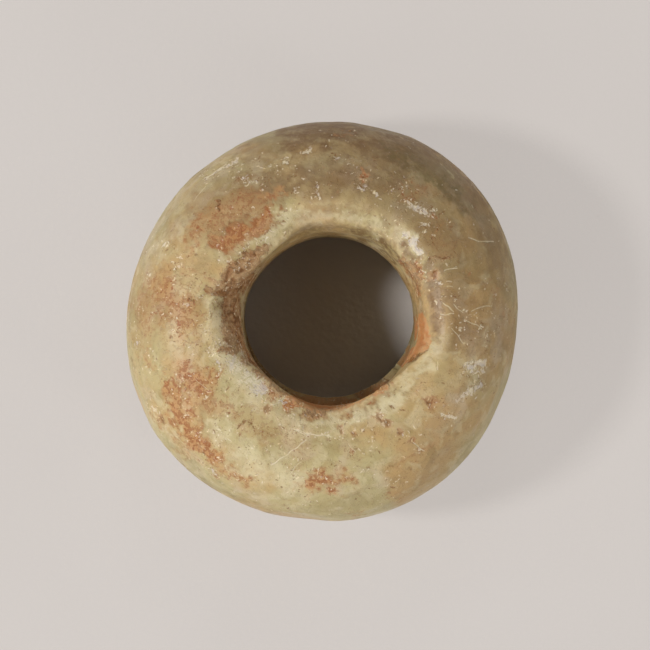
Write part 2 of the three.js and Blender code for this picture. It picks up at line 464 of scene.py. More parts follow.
# red-brown iron stain: start and end of each stroke and its reach in pixels, and its strength
RUST_STROKES = (
    (263, 193, 281, 193, 4, 0.60),
    (226, 245, 246, 232, 9, 1.00),
    (246, 231, 269, 213, 9, 1.00),
    (216, 238, 236, 243, 5, 0.80),
    (264, 196, 274, 193, 4, 0.70),
    (200, 217, 194, 245, 8, 0.65),
    (212, 224, 252, 198, 18, 0.55),
    (358, 176, 366, 177, 3, 0.90),
    (408, 190, 424, 186, 7, 0.40),
    (428, 217, 440, 224, 4, 0.60),
    (438, 236, 446, 252, 9, 0.30),
    (190, 272, 191, 273, 6, 0.55),
    (160, 277, 162, 282, 5, 0.50),
    (174, 279, 180, 284, 6, 0.45),
    (164, 292, 186, 322, 24, 0.66),
    (196, 282, 204, 320, 7, 0.38),
    (142, 296, 150, 326, 10, 0.45),
    (146, 330, 148, 340, 5, 0.35),
    (204, 282, 216, 278, 7, 0.55),
    (420, 192, 434, 194, 6, 0.30),
    (413, 271, 419, 288, 5, 0.95),
    (402, 262, 412, 268, 3, 0.55),
    (467, 276, 468, 277, 4, 0.50),
    (492, 288, 494, 292, 4, 0.45),
    (506, 315, 508, 320, 4, 0.50),
    (188, 372, 205, 390, 9, 0.90),
    (196, 384, 216, 374, 7, 0.80),
    (172, 382, 184, 392, 6, 1.05),
    (146, 356, 150, 366, 5, 0.50),
    (170, 394, 182, 408, 10, 0.80),
    (176, 408, 186, 426, 10, 0.90),
    (186, 428, 204, 448, 11, 0.95),
    (198, 442, 216, 458, 8, 0.90),
    (198, 400, 232, 410, 12, 0.50),
    (206, 456, 224, 462, 5, 0.70),
    (228, 470, 248, 482, 5, 0.70),
    (154, 414, 164, 424, 3, 0.60),
    (178, 452, 190, 462, 3, 0.45),
    (256, 424, 276, 440, 10, 0.30),
    (308, 480, 332, 481, 9, 0.95),
    (322, 476, 352, 480, 10, 0.70),
    (298, 462, 306, 466, 5, 0.40),
    (258, 384, 292, 401, 5, 0.90),
    (292, 403, 346, 403, 9, 0.95),
    (346, 402, 390, 384, 5, 0.90),
    (240, 424, 262, 436, 12, 0.40),
    (236, 410, 300, 444, 22, 0.34),
    (246, 262, 264, 254, 3, 0.60),
    (404, 462, 434, 446, 8, 0.34),
    (392, 495, 397, 497, 5, 0.45),
    (352, 514, 358, 513, 3, 0.55),
    (340, 446, 360, 450, 10, 0.25),
    (424, 400, 436, 404, 8, 0.35),
    (280, 505, 300, 510, 6, 0.25),
)
# dark brown burial soil, ground into the hollows and the drilled mouth
SOIL_STROKES = (
    (211, 290, 224, 293, 5, 1.15),
    (236, 272, 253, 261, 9, 1.15),
    (228, 286, 246, 280, 11, 1.10),
    (248, 258, 264, 250, 5, 1.10),
    (232, 298, 232, 318, 12, 0.90),
    (229, 318, 234, 338, 11, 1.00),
    (222, 350, 236, 351, 3, 1.00),
    (240, 340, 250, 360, 6, 0.85),
    (248, 358, 284, 394, 4, 0.90),
    (284, 396, 300, 409, 2.5, 0.80),
    (300, 410, 324, 412, 2.5, 0.75),
    (328, 411, 350, 405, 2.0, 0.70),
    (350, 398, 392, 380, 3, 0.85),
    (384, 387, 389, 384, 3, 1.00),
    (217, 200, 219, 212, 2, 1.00),
    (391, 405, 392, 406, 1.4, 0.60),
    (402, 410, 403, 411, 1.4, 0.60),
    (430, 259, 443, 258, 3, 0.60),
    (336, 134, 352, 134, 3, 0.50),
    (400, 259, 412, 268, 2.5, 0.95),
    (412, 268, 420, 286, 3, 0.80),
    (186, 300, 192, 302, 3, 0.50),
    (178, 398, 180, 400, 2, 0.60),
)
# bright orange soil packed into the hollow right of the hole and along its lower lip
ORANGE_STROKES = (
    (420, 320, 421, 346, 8, 0.80),
    (424, 330, 425, 344, 6, 1.00),
    (414, 350, 401, 363, 5, 0.95),
    (288, 402, 346, 403, 8, 1.00),
    (346, 402, 384, 387, 6, 0.75),
)
# paler, greener or whiter zones of the stone itself, and painted light on the ring round the lower
# mouth
PALE_AND_LIT_STROKES = (
    (252, 240, 290, 218, 7, 0.80),
    (290, 217, 352, 214, 6, 0.72),
    (352, 215, 402, 233, 6, 0.62),
    (222, 352, 262, 406, 11, 0.85),
    (262, 410, 300, 424, 10, 0.62),
    (300, 424, 352, 420, 10, 0.74),
    (352, 420, 396, 398, 10, 0.84),
    (396, 396, 436, 350, 10, 0.70),
    (400, 420, 450, 380, 14, 0.35),
    (246, 462, 300, 482, 22, 0.70),
    (300, 482, 360, 500, 16, 0.30),
    (240, 246, 262, 236, 7, 0.55),
    (212, 304, 214, 322, 8, 0.90),
    (206, 330, 220, 346, 10, 0.45),
    (240, 362, 280, 402, 10, 0.75),
    (212, 424, 230, 440, 8, 0.60),
    (162, 236, 158, 262, 9, 0.60),
    (176, 206, 206, 186, 9, 0.50),
    (186, 222, 196, 204, 9, 0.35),
    (170, 425, 176, 440, 6, 0.60),
    (190, 448, 214, 468, 6, 0.50),
    (290, 432, 330, 438, 8, 0.40),
    (404, 234, 417, 250, 8, 1.05),
    (466, 368, 480, 362, 9, 0.60),
    (466, 398, 476, 386, 8, 0.50),
    (446, 412, 456, 418, 7, 0.50),
    (446, 356, 462, 356, 5, 0.60),
    (404, 200, 434, 218, 9, 0.80),
    (356, 180, 384, 192, 8, 0.45),
    (262, 170, 310, 160, 14, 0.30),
)
# the browner skin of the stone and painted shade, mostly across the top of the picture and down its
# right side
SKIN_AND_SHADE_STROKES = (
    (290, 136, 350, 132, 22, 0.95),
    (350, 140, 420, 160, 22, 0.90),
    (420, 160, 470, 200, 20, 0.75),
    (255, 150, 290, 140, 22, 0.60),
    (300, 126, 372, 124, 7, 0.85),
    (372, 124, 430, 146, 7, 0.90),
    (430, 146, 482, 200, 7, 0.80),
    (482, 200, 512, 280, 8, 0.55),
    (478, 210, 500, 260, 20, 0.60),
    (500, 270, 506, 340, 18, 0.36),
    (250, 190, 320, 176, 20, 0.80),
    (226, 242, 268, 212, 11, 1.00),
    (196, 202, 300, 162, 28, 0.30),
    (300, 160, 400, 172, 30, 0.26),
    (420, 320, 421, 346, 8, 0.60),
    (150, 250, 146, 340, 18, 0.22),
    (400, 498, 456, 466, 20, 0.16),
    (440, 230, 470, 320, 24, 0.14),
    (290, 405, 346, 405, 7, 0.45),
    (346, 404, 388, 387, 6, 0.45),
    (300, 160, 380, 166, 20, 0.30),
    (320, 178, 400, 182, 28, 0.82),
    (400, 184, 452, 250, 28, 0.72),
    (452, 250, 460, 335, 26, 0.62),
    (206, 196, 246, 176, 18, 0.46),
    (196, 216, 260, 190, 20, 0.52),
    (170, 250, 186, 216, 14, 0.16),
    (300, 202, 360, 198, 10, 0.40),
    (360, 198, 412, 220, 12, 0.55),
    (410, 226, 430, 262, 9, 0.72),
    (430, 262, 440, 330, 11, 0.88),
    (472, 378, 432, 448, 22, 0.18),
    (284, 233, 360, 230, 6, 0.50),
    (360, 232, 406, 262, 7, 0.90),
    (408, 266, 416, 300, 5, 0.60),
    (206, 240, 250, 216, 16, 0.20),
)
# dark green veins inside the stone
VEIN_STROKES = (
    (386, 148, 420, 166, 8, 0.55),
    (424, 176, 456, 190, 7, 0.60),
    (456, 196, 482, 226, 8, 0.50),
    (132, 345, 150, 402, 4, 0.45),
    (160, 230, 210, 172, 11, 0.28),
    (164, 440, 214, 492, 6, 0.45),
    (214, 492, 272, 513, 7, 0.42),
    (300, 506, 350, 516, 6, 0.35),
    (452, 438, 410, 480, 9, 0.15),
    (206, 258, 216, 254, 4, 0.35),
    (484, 338, 494, 352, 6, 0.45),
)
# places sprinkled with small white chips, and the darker grains between them
CHIP_STROKES = (
    (243, 178, 290, 166, 11, 0.75),
    (206, 180, 240, 161, 6, 0.80),
    (296, 154, 310, 152, 5, 0.70),
    (298, 186, 322, 190, 10, 0.80),
    (340, 166, 390, 190, 12, 0.60),
    (404, 198, 434, 220, 12, 0.95),
    (384, 214, 400, 224, 8, 0.55),
    (376, 230, 412, 252, 9, 0.75),
    (248, 246, 300, 214, 8, 0.85),
    (300, 216, 380, 220, 7, 0.50),
    (430, 270, 446, 300, 12, 0.60),
    (440, 300, 486, 330, 15, 0.85),
    (446, 332, 486, 346, 12, 0.50),
    (462, 366, 484, 362, 8, 0.95),
    (462, 398, 482, 384, 9, 0.95),
    (442, 414, 456, 414, 6, 0.90),
    (160, 240, 178, 262, 9, 0.60),
    (166, 272, 186, 290, 8, 0.50),
    (206, 330, 226, 372, 13, 0.90),
    (172, 376, 222, 452, 17, 0.55),
    (226, 420, 300, 470, 18, 0.42),
    (408, 252, 430, 300, 8, 0.60),
    (206, 470, 240, 486, 9, 0.60),
    (140, 280, 200, 326, 24, 0.35),
    (246, 462, 330, 486, 22, 0.30),
    (352, 452, 392, 480, 18, 0.30),
    (250, 386, 300, 412, 10, 0.65),
    (286, 430, 340, 436, 8, 0.70),
    (340, 420, 410, 440, 14, 0.60),
    (200, 440, 240, 478, 14, 0.45),
    (130, 300, 160, 400, 14, 0.35),
    (216, 262, 250, 246, 8, 0.55),
    (500, 280, 508, 330, 7, 0.45),
)
# chips and specks of white mineral: short strokes about as wide as they are in the picture
LIME_STROKES = (
    (206, 179, 216, 171, 2.0, 1.0),
    (218, 170, 236, 162, 2.4, 1.0),
    (237, 160, 239, 160, 2.4, 1.0),
    (244, 178, 254, 176, 2.0, 0.8),
    (246, 181, 258, 179, 2.0, 0.8),
    (262, 166, 270, 164, 1.8, 0.8),
    (284, 160, 288, 160, 2.0, 0.9),
    (299, 153, 309, 151, 2.2, 1.0),
    (301, 178, 303, 178, 1.8, 0.9),
    (294, 187, 296, 192, 2.0, 0.8),
    (318, 182, 316, 190, 1.8, 1.0),
    (317, 190, 321, 197, 2.0, 1.0),
    (297, 201, 298, 201, 1.4, 0.8),
    (221, 231, 223, 231, 1.6, 1.0),
    (164, 242, 166, 246, 3.6, 1.0),
    (172, 262, 178, 266, 2.4, 1.0),
    (176, 256, 182, 258, 1.4, 0.8),
    (227, 261, 230, 261, 2.4, 1.0),
    (240, 252, 248, 246, 2.4, 0.8),
    (256, 246, 266, 238, 2.0, 0.8),
    (338, 160, 339, 160, 1.8, 0.8),
    (350, 165, 352, 165, 2.0, 0.9),
    (348, 142, 350, 142, 1.6, 0.7),
    (358, 187, 362, 190, 2.0, 0.9),
    (362, 183, 367, 186, 2.0, 0.9),
    (376, 194, 381, 196, 2.0, 0.9),
    (389, 192, 396, 192, 1.8, 0.8),
    (402, 197, 414, 204, 4.0, 0.85),
    (412, 206, 426, 214, 5.0, 0.95),
    (420, 224, 424, 226, 2.0, 0.9),
    (430, 206, 434, 212, 2.0, 0.9),
    (389, 208, 392, 210, 1.6, 0.8),
    (382, 217, 385, 219, 1.6, 0.8),
    (403, 177, 405, 178, 1.6, 0.8),
    (411, 185, 413, 186, 1.6, 0.8),
    (406, 236, 414, 240, 5.0, 1.2),
    (410, 240, 418, 252, 5.4, 1.2),
    (385, 234, 388, 236, 2.2, 0.8),
    (438, 281, 441, 283, 1.8, 1.0),
    (470, 222, 472, 224, 1.6, 0.8),
    (485, 279, 485, 285, 1.3, 0.9),
    (507, 284, 507, 291, 1.2, 0.8),
    (138, 342, 138, 347, 1.8, 1.0),
    (152, 408, 158, 412, 2.8, 1.0),
    (214, 470, 218, 478, 3.0, 1.0),
    (222, 342, 230, 344, 3.6, 1.0),
    (216, 362, 220, 372, 3.0, 0.8),
    (238, 380, 240, 382, 1.8, 0.9),
    (248, 388, 256, 394, 2.0, 0.9),
    (264, 404, 274, 404, 2.6, 1.0),
    (280, 402, 286, 403, 2.6, 1.0),
    (298, 430, 308, 435, 1.8, 1.0),
    (310, 434, 329, 435, 1.6, 1.0),
    (352, 432, 356, 434, 2.0, 0.8),
    (466, 365, 484, 363, 4.5, 1.1),
    (472, 374, 480, 372, 4.0, 0.9),
    (464, 396, 478, 386, 5.0, 1.05),
    (458, 402, 464, 400, 3.5, 0.9),
    (444, 415, 454, 416, 2.8, 0.8),
    (234, 360, 262, 392, 9.0, 1.05),
    (398, 432, 402, 434, 1.6, 0.8),
    (430, 216, 434, 219, 1.6, 0.9),
)
# small dark or red pits and specks
SPECK_STROKES = (
    (161, 417, 164, 421, 2.0, 1.0),
    (267, 410, 271, 411, 1.8, 1.0),
    (237, 427, 241, 424, 1.6, 1.0),
    (243, 422, 248, 421, 2.0, 1.0),
    (251, 422, 254, 424, 1.8, 1.0),
    (249, 415, 251, 415, 1.2, 0.8),
    (429, 402, 431, 403, 1.6, 0.75),
    (378, 418, 381, 420, 1.6, 0.75),
    (386, 421, 388, 423, 1.6, 0.75),
    (340, 429, 343, 431, 1.6, 0.75),
    (433, 273, 435, 276, 1.8, 0.9),
    (390, 405, 391, 407, 1.4, 0.9),
    (401, 410, 403, 411, 1.4, 0.9),
    (288, 433, 290, 434, 1.6, 0.8),
    (301, 415, 302, 416, 1.4, 0.8),
    (411, 468, 413, 469, 1.4, 0.7),
    (411, 440, 413, 441, 1.6, 0.8),
    (363, 176, 365, 177, 1.6, 0.9),
    (201, 421, 202, 422, 1.2, 0.8),
    (442, 258, 444, 259, 1.6, 0.8),
    (429, 260, 431, 260, 1.4, 0.8),
    (403, 262, 413, 269, 1.6, 1.0),
    (207, 290, 226, 294, 3.2, 0.9),
    (224, 282, 232, 270, 2.2, 0.8),
    (236, 262, 250, 255, 1.8, 0.7),
    (415, 270, 421, 286, 1.6, 0.9),
    (404, 364, 416, 356, 2.0, 1.1),
    (416, 356, 428, 350, 2.0, 1.1),
    (218, 201, 219, 204, 1.4, 0.9),
    (219, 207, 220, 211, 1.6, 0.9),
    (222, 213, 223, 215, 1.2, 0.8),
    (184, 388, 186, 389, 1.4, 0.8),
    (203, 452, 208, 459, 1.4, 0.8),
)

# how strongly each point of the stone has each kind of mark
levels = {
    "vein": marks(VEIN_STROKES, STAIN_WANDER),
    "chips": marks(CHIP_STROKES, STAIN_WANDER),
    "rust": marks(RUST_STROKES, STAIN_WANDER),
    "soil": marks(SOIL_STROKES, SOIL_WANDER),
    "orange": marks(ORANGE_STROKES, PACKED_WANDER),
    "pale": marks(PALE_AND_LIT_STROKES, STAIN_WANDER),
    "brown": marks(SKIN_AND_SHADE_STROKES, CLOUD_WANDER),
    "lime": marks(LIME_STROKES, CHIP_WANDER),
    "speck": marks(SPECK_STROKES, CHIP_WANDER),
}

# craters: small round pits, as x, y and reach in pixels; each fades out at twice its reach
CRATERS = (
    (430, 402, 4.5),
    (379, 417, 3.5),
    (387, 423, 3.5),
    (341, 430, 3.0),
    (354, 433, 2.0),
    (400, 432, 2.5),
    (412, 440, 2.0),
    (434, 275, 4.0),
    (229, 263, 2.5),
    (267, 409, 3.5),
    (364, 177, 3.0),
    (160, 418, 3.0),
    (217, 476, 2.5),
    (351, 452, 2.0),
)
crater = np.zeros(len(points))
for x, y, reach in CRATERS:
    across = seen_x - x + CHIP_WANDER * small[:, 0]
    down = seen_y - y + CHIP_WANDER * small[:, 1]
    crater = np.maximum(crater, np.clip(1 - np.hypot(across, down) / (2 * reach), 0, 1))
levels["crater"] = crater * facing_up

# the places the photograph doesn't show carry the same stains and chips, scattered by chance
SCATTER_SEED = 41
HIDDEN_STAINS = 34
HIDDEN_CHIPS = 150
BORE_RADIUS = 13 * MM
BORE_BLEND = 1 * MM
BORE_SOIL = 0.35
HIDDEN_MARKS = (
    # how strong each kind of mark is, how many places have it, and their least and most reach
    ({"rust": 0.6}, HIDDEN_STAINS, 1.2 * MM, 4.5 * MM),
    ({"pale": 0.6}, HIDDEN_STAINS, 1.5 * MM, 5.0 * MM),
    ({"brown": 0.8}, HIDDEN_STAINS // 2, 1.5 * MM, 5.0 * MM),
    ({"lime": 1.0}, HIDDEN_CHIPS, 0.15 * MM, 0.50 * MM),
    ({"speck": 0.9}, HIDDEN_CHIPS, 0.12 * MM, 0.35 * MM),
    ({"vein": 0.6, "chips": 0.7}, HIDDEN_STAINS, 1.5 * MM, 4.0 * MM),
)
chance = random.Random(SCATTER_SEED)


def scattered(count, least, most, allowed):
    """Seeded places on the stone, each with a reach in metres."""
    places = []
    while len(places) < count:
        index = chance.randrange(len(points))
        reach = least + (most - least) * chance.random() ** 2
        if allowed[index] > chance.random():
            places.append((points[index], reach))
    return places


def near(place, reach):
    """How near each point of the stone is to a place: 1 there, and 0 well past its reach."""
    away = ((points - place) ** 2).sum(1)
    return np.exp(-away / reach**2)


hidden = 1 - facing_up
hidden_outside = hidden * (from_axis() > BORE_RADIUS)
for strengths, count, least, most in HIDDEN_MARKS:
    for place_at, reach in scattered(count, least, most, hidden_outside):
        for name, strength in strengths.items():
            mark = near(place_at, reach) * hidden * strength
            levels[name] = np.maximum(levels[name], mark)
bore = np.clip((BORE_RADIUS - from_axis()) / BORE_BLEND, 0, 1)
levels["soil"] = np.maximum(levels["soil"], bore * hidden * BORE_SOIL)

# relief: a slow waviness from grinding by hand, a finer unevenness, pits and raised soil, on a
# stone that is let out by a hair outside its mouths
WAVE_SIZE = 9 * MM
WAVE_HEIGHT = 0.14 * MM
LET_OUT_HEIGHT = 0.05 * MM
RIPPLE_SIZE = 2.4 * MM
RIPPLE_HEIGHT = 0.035 * MM
LUMP_SIZE = 0.6 * MM
CHIP_DEPTH = 0.07 * MM
CHIP_EVEN_SHARE = 0.6
CHIP_LUMPY_SHARE = 0.4
SPECK_DEPTH = 0.10 * MM
CRATER_DEPTH = 0.14 * MM
CRATER_EVEN_SHARE = 0.7
CRATER_LUMPY_SHARE = 0.6
CRATER_EDGE = 0.40
CRATER_WALL = 0.3
RIM_WIDTH = 0.2
RIM_SHARE = 0.15
SMALL_PITS = 420
LEAST_PIT = 0.18 * MM
MOST_PIT = 0.50 * MM
PIT_DEPTH = 0.10 * MM
LEAST_DEPTH_SHARE = 0.3
SOIL_HEIGHT = 0.12 * MM
THIN_SOIL = 0.3
SOIL_EVEN_SHARES = {"soil": 0.5, "orange": 0.6}


def unevenness(size):
    """A noise from -1 to 1 at each point, with patches of about this size."""
    return np.array([noise.noise(Vector(p) / size) for p in points])


lumps = unevenness(LUMP_SIZE)
lift = unevenness(WAVE_SIZE) * WAVE_HEIGHT + unevenness(RIPPLE_SIZE) * RIPPLE_HEIGHT
lift += outside_mouth * LET_OUT_HEIGHT
lift -= levels["lime"] * CHIP_DEPTH * (CHIP_EVEN_SHARE + CHIP_LUMPY_SHARE * lumps)
lift -= levels["speck"] * SPECK_DEPTH
past_edge = levels["crater"] - CRATER_EDGE
dug = np.clip(past_edge, 0, CRATER_WALL) / CRATER_WALL
lift -= dug * CRATER_DEPTH * (CRATER_EVEN_SHARE + CRATER_LUMPY_SHARE * lumps)
rim = np.clip(1 - np.abs(past_edge) / RIM_WIDTH, 0, 1)
lift += rim * CRATER_DEPTH * RIM_SHARE
pits = np.zeros(len(points))
everywhere = np.ones(len(points))
for place_at, reach in scattered(SMALL_PITS, LEAST_PIT, MOST_PIT, everywhere):
    depth_share = chance.uniform(LEAST_DEPTH_SHARE, 1.0)
    pits = np.maximum(pits, near(place_at, reach) * depth_share)
levels["pits"] = pits
lift -= pits * PIT_DEPTH
for name, even_share in SOIL_EVEN_SHARES.items():
    caked = np.clip(levels[name] * (1 + THIN_SOIL) - THIN_SOIL, 0, 1)
    lift += caked * SOIL_HEIGHT * (even_share + lumps)
points = points + normals * lift[:, None]
set_points()

# how hollow or how proud the surface is at each point, against its neighbours
HOLLOW_SCALE = 0.012 * MM
SPREADINGS = 3
LEAST_HOLLOW = 0.1
LEAST_RIDGE = 0.3
hollow = ((beside(points) - points) * mesh_normals()).sum(1) / HOLLOW_SCALE
for _ in range(SPREADINGS):
    hollow = (hollow + neighbours(hollow)) / 2
levels["hollow"] = np.clip(hollow - LEAST_HOLLOW, 0, 1)
# the proud crests carry a painted highlight in the finish
levels["ridge_highlight"] = np.clip(-hollow - LEAST_RIDGE, 0, 1)

# painted shade: a dark olive on the drilled wall, which begins a little above the waist
BORE_SHADE_TOP = 15 * MM
BORE_SHADE_DEPTH = 3.5 * MM
BORE_SHADE_RADIUS = 14 * MM
BORE_SHADE_BLEND = 1.5 * MM
in_bore = np.clip((BORE_SHADE_RADIUS - from_axis()) / BORE_SHADE_BLEND, 0, 1)
levels["bore_shade"] = np.clip((BORE_SHADE_TOP - points[:, 2]) / BORE_SHADE_DEPTH, 0, 1) * in_bore

# the mesh holds every level at its points, where the finish reads it
for name, level in levels.items():
    layer = stone_mesh.attributes.new(name, "FLOAT", "POINT")
    layer.data.foreach_set("value", level.astype(np.float32))

# finish: cloudy yellow-green stone under a waxy polish, stained and chipped as placed above
OLIVE = (154, 132, 82)
HONEY = (193, 160, 108)
CELADON = (190, 175, 128)
MILK = (216, 203, 164)
HAZE = (204, 185, 156)
CREAM = (232, 208, 162)
SKIN_AND_SHADE_BROWN = (120, 88, 52)
VEIN_GREEN = (118, 104, 60)
RUST_LIGHT = (188, 134, 82)
RUST_DEEP = (148, 86, 44)
RUST_RED = (158, 82, 42)
CRUST_PALE = (184, 150, 106)
CRUST_BROWN = (160, 116, 76)
CRUST_DARK = (118, 78, 44)
ORANGE_SOIL = (190, 124, 74)
LIME_WHITE = (238, 226, 200)
LIME_LILAC = (214, 203, 198)
PIT_BROWN = (132, 86, 40)
PIT_RIM = (176, 128, 86)
BORE_SHADE_OLIVE = (96, 84, 56)
SCRATCH_PALE = (228, 214, 182)

# how much light soaks in, how far it spreads in red, green and blue, and how the polish shines
SOAK_SHARE = 0.40
SOAK_SPREAD = (1.0, 0.85, 0.45)
SOAK_DEPTH = 0.9 * MM
STONE_INDEX = 1.55
STONE_SPECULAR = 0.3
STONE_ROUGHNESS = 0.38
POLISH_SHARE = 0.07
POLISH_ROUGHNESS = 0.3
CRUST_HEIGHT = 0.09 * MM

# sizes of the patches and grains that the colours come in, from broad clouds to fine crumbs
CLOUD_SIZE = 13 * MM
DRIFT_SIZE = 6 * MM
HAZE_SIZE = 4 * MM
MILK_SIZE = 2.7 * MM
MOTTLE_SIZE = 1.8 * MM
CURL_SIZE = 1.1 * MM
KINK_SIZE = 1.0 * MM
CLUSTER_SIZE = 0.8 * MM
CRUMBLE_SIZE = 0.6 * MM
CREAM_GRAIN = 0.50 * MM
DARK_GRAIN = 0.47 * MM
FINE_SIZE = 0.26 * MM

# scratches across the worn face: start and end in pixels of the photograph, and depth
SCRATCHES = (
    (271, 464, 306, 440, 1.0),
    (294, 430, 306, 436, 0.9),
    (306, 434, 329, 436, 1.0),
    (444, 271, 456, 269, 0.9),
    (469, 240, 492, 243, 1.0),
    (448, 282, 453, 282, 0.7),
    (448, 286, 454, 286, 0.7),
    (442, 302, 454, 313, 0.9),
    (440, 312, 454, 315, 0.8),
    (454, 306, 462, 313, 0.8),
    (472, 311, 489, 306, 0.8),
    (464, 319, 482, 328, 0.8),
    (452, 330, 462, 343, 0.7),
    (437, 362, 440, 370, 0.8),
    (412, 443, 423, 451, 0.9),
    (350, 442, 355, 452, 0.6),
    (196, 379, 208, 391, 0.6),
    (290, 474, 302, 464, 0.6),
    (194, 198, 206, 188, 0.6),
    (207, 178, 226, 166, 0.8),
)
SCRATCH_WIDTH = 0.15 * MM
SCRATCH_BED_SHARE = 0.2
SCRATCH_STRAY_SIZE = 2.5 * MM
SCRATCH_STRAY = 1.4 * MM
SCRATCHED_BLEND = 1 * MM

stone_finish, shader, place = new_finish("weathered_green_stone")
worn_shape = BVHTree.FromPolygons(
    [Vector(p) for p in points], [tuple(f.vertices) for f in stone_mesh.polygons]
)


def held(name):
    """The level of a stain or chip that the mesh holds at its points."""
    return place.node("ShaderNodeAttribute", {"attribute_name": name}, {}, output="Fac")


def under_pixel(x, y):
    """The place on the stone that the photograph shows at a pixel."""
    per_pixel = PICTURE_WIDTH_AT_BELT / PICTURE_PIXELS
    drop = CAMERA_HEIGHT - BELT_HEIGHT
    half = PICTURE_PIXELS / 2
    sight = Vector(((x - half) * per_pixel, (half - y) * per_pixel, -drop))
    return worn_shape.ray_cast(camera.location, sight)[0]


def strayed(size, reach):
    """The place on the stone, moved aside by up to half this reach, in patches of this size."""
    inputs = {"Vector": place, "Scale": 1 / size, "Detail": 1.0}
    aside = place.node("ShaderNodeTexNoise", {}, inputs, "Color")
    aside = aside.vector("SUBTRACT", (0.5, 0.5, 0.5)).vector("SCALE", reach)
    return place.vector("ADD", aside)


# scratches are laid out flat, as seen from above, and only the upper half of the stone has them
flat_place = strayed(SCRATCH_STRAY_SIZE, SCRATCH_STRAY).vector("MULTIPLY", (1.0, 1.0, 0.0))
height = place.node("ShaderNodeSeparateXYZ", {}, {"Vector": place}, "Z")
upper_half = height.between(BELT_HEIGHT, BELT_HEIGHT + SCRATCHED_BLEND)


def scratch(x0, y0, x1, y1, depth):
    """1 along the middle of a scratch and 0 past its width."""
    start = under_pixel(x0, y0) * Vector((1, 1, 0))
    along = under_pixel(x1, y1) * Vector((1, 1, 0)) - start
    off = flat_place.vector("SUBTRACT", start)
    share = off.vector("DOT_PRODUCT", along / along.length_squared, "Value")
    share = share.node("ShaderNodeClamp", {}, {"Value": share})
    reached = share.node("ShaderNodeVectorMath", {"operation": "SCALE"}, {0: along, "Scale": share})
    away = off.vector("DISTANCE", reached, "Value")
    return away.between(SCRATCH_WIDTH * depth, SCRATCH_WIDTH * SCRATCH_BED_SHARE) * depth


# a film of soil lies in every hollow too
FILM_SHARE = 0.25
rust_level = held("rust")
soil_level = held("soil") + held("hollow") * FILM_SHARE
orange_level = held("orange")
chip_level = held("chips")
crater_held = held("crater")
lime_held = held("lime")
speck_held = held("speck")

clouds = place.grain(CLOUD_SIZE, detail=3.0, roughness=0.55, distortion=0.4)
drift = place.grain(DRIFT_SIZE, detail=4.0, roughness=0.6, distortion=0.8)
haze = place.grain(HAZE_SIZE, detail=3.0, roughness=0.5, distortion=0.6)
milky = place.grain(MILK_SIZE, detail=3.0, roughness=0.55, distortion=0.5)
mottle = place.grain(MOTTLE_SIZE, detail=5.0, roughness=0.65, distortion=0.3)
curls = place.grain(CURL_SIZE, detail=1.5, roughness=0.5, distortion=1.0)
kinks = place.grain(KINK_SIZE, detail=2.0, roughness=0.6, distortion=1.2)
cluster = place.grain(CLUSTER_SIZE, detail=2.0, roughness=0.6)
crumble = place.grain(CRUMBLE_SIZE, detail=4.0, roughness=0.7).between(0.30, 0.70)
fine = place.grain(FINE_SIZE, detail=2.0, roughness=0.6)
patchy = mottle.between(0.35, 0.65) * 0.35 + crumble * 0.4 + fine.between(0.28, 0.72) * 0.25

# small grains stray off their cells, so that none is round, and some are fainter than others
GRAIN_STRAY_SIZE = 0.7 * MM
GRAIN_STRAY = 1.3 * MM
GRAIN_EDGE = 0.44
GRAIN_HEART = 0.20
GRAIN_FAINTEST = 0.4
LINE_CORE_SHARE = 0.3
shaken = strayed(GRAIN_STRAY_SIZE, GRAIN_STRAY)


def grains(size, crowd):
    """Small uneven grains, up to 1 at their hearts, in this share of cells of this size."""
    cell = shaken.node("ShaderNodeTexVoronoi", {}, {"Vector": shaken, "Scale": 1 / size})
    lot = cell.node("ShaderNodeSeparateXYZ", {}, {"Vector": cell.output("Color")})
    kept = (crowd - lot).between(0.0, 0.10)
    strength = lot.output("Y") * (1 - GRAIN_FAINTEST) + GRAIN_FAINTEST
    return cell.between(GRAIN_EDGE, GRAIN_HEART) * kept * strength


def winding(field, level, width):
    """1 along the winding lines where a noise passes through a level, and 0 past their width."""
    return (field - level).math("ABSOLUTE").between(width, width * LINE_CORE_SHARE)


# the stone itself, with painted light and painted shade in its pale and brown strokes
colour = clouds.between(0.38, 0.60).blend(linear(HONEY), linear(CELADON))
colour = (drift.between(0.50, 0.68) * 0.5).blend(colour, linear(OLIVE))
colour = (haze.between(0.52, 0.66) * 0.45).blend(colour, linear(HAZE))
colour = (milky.between(0.54, 0.66) * 0.40).blend(colour, linear(MILK))
colour = (mottle.between(0.53, 0.64) * 0.22).blend(colour, linear(OLIVE))
# pale strokes are paler stone and, round the lower mouth, painted light
colour = (held("pale") * (mottle + 0.4)).between(0.10, 0.95).blend(colour, linear(MILK))
# brown strokes are browner skin, and painted shade across the top and right side
colour = (held("brown") * (mottle * 0.5 + 0.7)).blend(colour, linear(SKIN_AND_SHADE_BROWN))
colour = (held("vein") * (mottle + 0.3)).between(0.10, 0.90).blend(colour, linear(VEIN_GREEN))

# iron stain: a soft tint with deeper grains and short winding red-brown lines
colour = (rust_level.between(0.0, 1.1) * 0.85).blend(colour, linear(RUST_LIGHT))
rusty = ((kinks + crumble) * 0.5 + rust_level * 0.12).between(0.56, 0.65)
colour = (rusty * rust_level.between(0.0, 1.0) * 0.70).blend(colour, linear(RUST_DEEP))
rust_lines = winding(kinks, 0.52, 0.075) * (cluster + rust_level * 0.20).between(0.60, 0.68)
colour = (rust_lines * 0.75).blend(colour, linear(RUST_RED))

